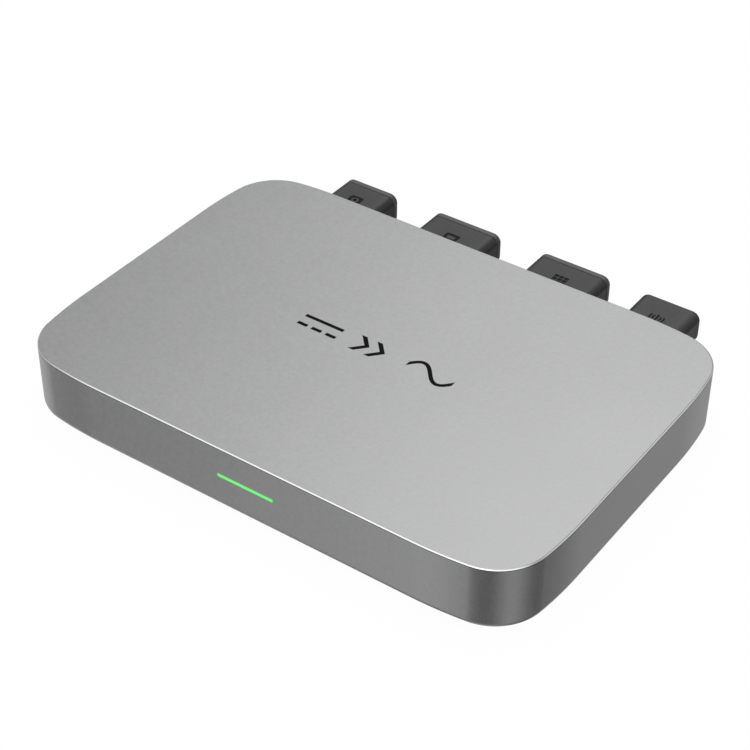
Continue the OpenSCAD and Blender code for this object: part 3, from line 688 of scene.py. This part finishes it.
def port_flange(port):
    """Mounting flange inside the case, with a passage and two screw holes."""
    x, w, y = port.x, port.width, port.y_in
    flange = y_bar(x, PORT_Z, (w + 2 * FLANGE_MARGIN, 20), 3, (y, y + 2.5),
                   round0=0.3, round1=0.3, name="flange_" + port.key)
    if port.capped:
        passage = (w - 8, 8)
    else:
        passage = (w - 2 * PORT_WALL, PORT_H - 2 * PORT_WALL)
    through = (y - 1, y + 4)
    cutters = [y_bar(x, PORT_Z, passage, 1.6, through, steps=6)]
    for side in (-1, 1):
        cutters.append(y_bar(x + side * (w / 2 + 3.2), PORT_Z, (2.8, 2.8), 1.39, through,
                             steps=6))
    cut(flange, cutters)
    set_materials(flange, PORT_PLASTIC)
    return flange


for port in PORTS:
    block = port_block(port)
    flange = port_flange(port)
    for ob in (block, flange):
        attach(ob, "case")
    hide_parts(port.housing)


# ------------------------------------------------------------------ sealing caps
def sealing_cap(port):
    """Cap over the mouth of a block, with two recesses in its face and a hollow plug."""
    x, w, mouth, end = port.x, port.width, port.y_out, port.cap_end
    rim = y_bar(x, PORT_Z, (w, PORT_H), PORT_R, (mouth + 0.1, end), steps=14,
                round0=0.3, round1=0.75, name="cap_" + port.key)
    cut(rim, [y_bar(x + side * (w / 4 - 0.6), PORT_Z, (w / 2 - 5.2, 6.4), 1.6,
                    (end - 1.3, end + 1), steps=6) for side in (-1, 1)])
    plug = y_bar(x, PORT_Z, (w - 4.3, PORT_H - 4.3), 2.2, (mouth - 6.5, mouth + 0.5),
                 steps=10, round0=0.5, name="cap_plug_" + port.key)
    cut(plug, [y_bar(x, PORT_Z, (w - 7.3, PORT_H - 7.3), 1.2, (mouth - 8, mouth - 0.2),
                     steps=6)])
    for ob in (rim, plug):
        set_materials(ob, CAP_SILICONE)
        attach(ob, port.key + "_cap")
    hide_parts(port.cap)


for port in PORTS:
    if port.capped:
        sealing_cap(port)


# ------------------------------------------------------------------ status light
def status_light():
    """Light bar in the front side, with a wider flange behind the wall."""
    inside = -HALF_Y + WALL
    bar = y_bar(0, BAR_Z, (BAR_W, BAR_H), BAR_R, (-HALF_Y + 0.02, inside + 0.5), steps=10,
                round0=0.25, name="status_bar")
    flange = y_bar(0, BAR_Z, (31, 5.6), 1.0, (inside, inside + 1.2), steps=6, round0=0.1,
                   name="status_bar_flange")
    for ob in (bar, flange):
        set_materials(ob, STATUS_GLOW)
        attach(ob, "case")
    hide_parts("light_bar")


status_light()

# ------------------------------------------------------------------ finishes of the CAD nodes
# material, names of the nodes that wear it
FINISHES = [
    (cast_metal("cast_base", tone=0.40, rough=0.48), "base_plate"),
    (turned_metal("stainless", (0.62, 0.62, 0.63), rough=0.32), "base_screws transistor_clips"),
    (turned_metal("zinc_plate", (0.66, 0.67, 0.70), rough=0.28),
     "led_board_screws port_flange_screws board_screws earth_screw"),
    (rubber("black_rubber", (0.03, 0.03, 0.032), rough=0.7), "base_gasket port_flange_gaskets"),
    (plastic("insert_plastic", (0.022, 0.022, 0.024), rough=0.42, texture=0.8),
     "mains_port_insert battery_port_insert solar_port_insert"),
    (turned_metal("tinned_copper", (0.68, 0.68, 0.67), rough=0.34),
     "wireless_shield wire_terminals earth_terminal"),
    (board("solder_mask", (0.035, 0.16, 0.085)), "led_board antenna_board main_board"),
    (plastic("vent_plastic", (0.05, 0.05, 0.053)), "vent_plug"),
    (plastic("membrane_felt", (0.8, 0.8, 0.79), rough=0.9, texture=2.0), "vent_membrane"),
    (plastic("holder_plastic", (0.75, 0.75, 0.73), rough=0.45), "light_bar_holder"),
    (plastic("led_resin", (0.85, 0.83, 0.55), rough=0.25, texture=0.4), "leds"),
    (plastic("harness_pvc", (0.7, 0.7, 0.67)), "led_harness"),
    (turned_metal("pin_metal", (0.83, 0.70, 0.42), rough=0.22),
     "mains_port_pins battery_port_pins solar_port_pins"),
    (rubber("orange_silicone", (0.62, 0.19, 0.05), rough=0.5), "port_mating_seals"),
    (plastic("coax", (0.03, 0.03, 0.03), rough=0.4), "antenna_cable"),
    (plastic("film", (0.75, 0.70, 0.52), rough=0.35, texture=0.5), "insulation_sheet"),
    (turned_metal("turned_brass", (0.75, 0.58, 0.28), rough=0.28), "board_standoffs"),
    (plastic("ferrite", (0.06, 0.06, 0.065), rough=0.55, texture=2.0), "transformer_cores"),
    (windings("litz", (0.62, 0.33, 0.12)), "transformer_windings"),
    (plastic("bobbin", (0.03, 0.03, 0.03)), "transformer_bobbins choke_bases"),
    (plastic("core_coating", (0.05, 0.16, 0.10), rough=0.45), "choke_cores"),
    (windings("enamelled_wire", (0.58, 0.27, 0.09)), "choke_windings"),
    (plastic("sleeve", (0.04, 0.06, 0.11), rough=0.3, texture=0.5), "bus_capacitors"),
    (plastic("box_film", (0.42, 0.41, 0.35), rough=0.45), "film_capacitors"),
    (plastic("relay_case", (0.03, 0.08, 0.22), rough=0.35), "grid_relays"),
    (plastic("dip_coat", (0.05, 0.18, 0.38), rough=0.3), "surge_varistors"),
    (plastic("fuse_ceramic", (0.7, 0.68, 0.58), rough=0.3), "fuse"),
    (cast_metal("extrusion", tone=0.6, rough=0.35), "heat_spreader"),
    (rubber("gap_pad", (0.30, 0.38, 0.50), rough=0.8), "thermal_pad"),
    (plastic("moulding", (0.02, 0.02, 0.021), rough=0.55), "power_transistors control_chips"),
    (board("radio_mask", (0.015, 0.03, 0.09)), "wireless_board"),
    (plastic("brown_pvc", (0.20, 0.09, 0.03), rough=0.4, texture=0.5), "mains_power_wires"),
    (plastic("green_pvc", (0.12, 0.36, 0.06), rough=0.4, texture=0.5), "mains_earth_wire"),
    (plastic("red_silicone", (0.5, 0.03, 0.02), rough=0.45, texture=0.5), "dc_positive_wires"),
    (plastic("black_silicone", (0.02, 0.02, 0.02), rough=0.45, texture=0.5),
     "dc_negative_wires"),
    (plastic("yellow_pvc", (0.62, 0.42, 0.06), rough=0.4, texture=0.5),
     "battery_signal_wires"),
]
finish_of = {node: material for material, nodes in FINISHES for node in nodes.split()}
for name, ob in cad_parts.items():
    if name in finish_of:
        set_materials(ob, finish_of[name])
        for face in ob.data.polygons:
            face.material_index = 0


# ------------------------------------------------------------------ floor (metres)
def floor_material():
    """Plain white with a faint contact shade, seen by the camera only and from above."""
    material = bpy.data.materials.new("pale_floor")
    t = Tree(material)
    nearby = t.node("AmbientOcclusion", {"Distance": 0.03}, samples=16).outputs["AO"]
    strength = Value(t, nearby).spread(0.975, 1.0, start=0.0, end=1.0)
    white = t.value("Emission", {"Color": (1, 1, 1), "Strength": strength})
    clear = t.value("BsdfTransparent")
    front = t.value("NewGeometry", output="Backfacing") * -1.0 + 1.0
    seen = t.value("LightPath", output="Is Camera Ray") * front
    t.node("OutputMaterial", {0: t.mix_shaders(seen, clear, white)})
    return material


def white_floor():
    """Round floor just under the case."""
    n = 96
    bm = bmesh.new()
    centre = bm.verts.new((0, 0, 0))
    angles = [2 * math.pi * i / n for i in range(n)]
    rings = [add_row(bm, [(r * math.cos(a), r * math.sin(a), 0) for a in angles])
             for r in (0.3, 0.8, 2.0, 6.0)]
    for i in range(n):
        bm.faces.new((centre, rings[0][i], rings[0][(i + 1) % n]))
    for near, far in zip(rings, rings[1:]):
        for i in range(n):
            j = (i + 1) % n
            bm.faces.new((near[i], far[i], far[j], near[j]))
    bmesh.ops.recalc_face_normals(bm, faces=bm.faces)
    for face in bm.faces:
        if face.normal.z < 0:
            face.normal_flip()
    mesh = bpy.data.meshes.new("floor")
    bm.to_mesh(mesh)
    bm.free()
    ob = bpy.data.objects.new("floor", mesh)
    ob.location = (0, 0, -0.0002)
    bpy.context.scene.collection.objects.link(ob)
    mesh.materials.append(floor_material())


white_floor()

# ------------------------------------------------------------------ studio light
# below the horizon: direction from +X in degrees, brightness
LOW = [
    (-180, 0.52), (-160, 0.54), (-148, 0.07), (-135, 0.05), (-123, 0.65), (-113, 0.72),
    (-105, 0.20), (-95, 0.10), (-82, 0.125), (-66, 0.05), (-48, 0.17), (-32, 0.36),
    (-14, 0.35), (4, 0.16), (20, 0.09), (36, 0.04), (49, 0.12), (59, 0.34), (68, 0.53),
    (86, 0.44), (104, 0.23), (120, 0.10), (144, 0.12), (157, 0.64), (180, 0.52),
]
# above the horizon: height in degrees, brightness
SKY = [(0, 0.32), (14, 0.46), (24, 0.52), (34, 0.33), (42, 0.42), (65, 0.50), (90, 0.60)]
# soft panels: direction, height, inner and outer angle from the middle, added brightness
PANELS = [
    (115, 49, 4, 22, 0.93), (-108, 48, 14, 38, 0.75), (-35, 46, 10, 36, 0.65),
    (46, 25, 5, 19, 0.16), (78, 43, 4, 13, -0.38), (138, 40, 4, 15, -0.30),
    (128, 2, 9, 22, -0.34),
]


def brightness_ramp(tree, value, stops):
    """Eased grey ramp through stops of position and brightness."""
    node = tree.node("ValToRGB", {0: value})
    ramp = node.color_ramp
    ramp.interpolation = "EASE"
    while len(ramp.elements) > 1:
        ramp.elements.remove(ramp.elements[-1])
    ramp.elements[0].position = stops[0][0]
    ramp.elements[0].color = (stops[0][1],) * 3 + (1,)
    for position, level in stops[1:]:
        ramp.elements.new(position).color = (level, level, level, 1)
    return Value(tree, node.outputs[0])


def sin_deg(angle):
    return math.sin(math.radians(angle))


def cos_deg(angle):
    return math.cos(math.radians(angle))


def studio():
    """Dark flags and pale panels low down, bright soft panels above; white to the camera."""
    world = bpy.data.worlds.new("studio")
    bpy.context.scene.world = world
    t = Tree(world)
    x, y, z = t.xyz(t.value("TexCoord", output="Generated"))

    turn = y.math("ARCTAN2", x) * (1 / (2 * math.pi)) + 0.5
    low = brightness_ramp(t, turn, [((a + 180) / 360, level) for a, level in LOW])
    # dark ring under the object, open again straight below
    ring = z.step(-0.82, -0.93) - z.step(-0.94, -0.985)
    low = low * (ring * -0.88 + 1.0) + z.step(-0.68, -0.78) * 0.05 + z.step(-0.94, -0.985) * 0.2

    high = brightness_ramp(t, z, [(sin_deg(height), level) for height, level in SKY])
    for azimuth, height, inner, outer, gain in PANELS:
        towards = (x * (cos_deg(height) * cos_deg(azimuth))
                   + y * (cos_deg(height) * sin_deg(azimuth)) + z * sin_deg(height))
        high = high + towards.step(cos_deg(outer), cos_deg(inner)) * gain

    above = z.step(sin_deg(-3), sin_deg(16))
    level = low + (high - low) * above
    lit = t.value("Background", {0: (1.0, 1.0, 1.0), 1: level})
    white = t.value("Background", {0: (1, 1, 1), 1: 1.0})
    to_camera = t.value("LightPath", output="Is Camera Ray")
    t.node("OutputWorld", {0: t.mix_shaders(to_camera, lit, white)})


studio()


def overhead_light():
    """Weak square light above, aimed at the middle of the floor."""
    light = bpy.data.lights.new("overhead", "AREA")
    light.shape = "RECTANGLE"
    light.size = 1.0
    light.size_y = 1.0
    light.energy = 0.6
    place = Vector((0.1, -0.1, 1.3))
    ob = bpy.data.objects.new("overhead", light)
    ob.location = place
    ob.rotation_euler = (-place).to_track_quat("-Z", "Y").to_euler()
    bpy.context.scene.collection.objects.link(ob)


overhead_light()

# ------------------------------------------------------------------ camera
# azimuth from -Y towards +X, height above the horizon, and roll
CAM_AZIMUTH, CAM_HEIGHT, CAM_ROLL = (math.radians(a) for a in (34.98, 38.101, 0.395))
CAM_AIM = Vector((0, 0, 16.5))         # mm
CAM_SHIFT = (0.74, 2.55)               # mm to its right and up
CAM_DISTANCE = 771.69                  # mm
CAM_SENSOR, CAM_LENS = 36.0, 90.467088


def place_camera():
    data = bpy.data.cameras.new("camera")
    camera = bpy.data.objects.new("camera", data)
    bpy.context.scene.collection.objects.link(camera)
    back = Vector((math.sin(CAM_AZIMUTH) * math.cos(CAM_HEIGHT),
                   -math.cos(CAM_AZIMUTH) * math.cos(CAM_HEIGHT), math.sin(CAM_HEIGHT)))
    level_right = Vector((math.cos(CAM_AZIMUTH), math.sin(CAM_AZIMUTH), 0))
    level_up = back.cross(level_right)
    right = level_right * math.cos(CAM_ROLL) + level_up * math.sin(CAM_ROLL)
    up = level_up * math.cos(CAM_ROLL) - level_right * math.sin(CAM_ROLL)
    eye = CAM_AIM + right * CAM_SHIFT[0] + up * CAM_SHIFT[1] + back * CAM_DISTANCE
    turn = Matrix((right, up, back)).transposed().to_4x4()
    camera.matrix_world = Matrix.Translation(eye * MM) @ turn
    data.sensor_width = CAM_SENSOR
    data.lens = CAM_LENS
    data.clip_start = 0.01
    data.clip_end = 50.0
    bpy.context.scene.camera = camera


place_camera()
bpy.context.scene.view_settings.view_transform = "Standard"
bpy.context.scene.view_settings.look = "None"
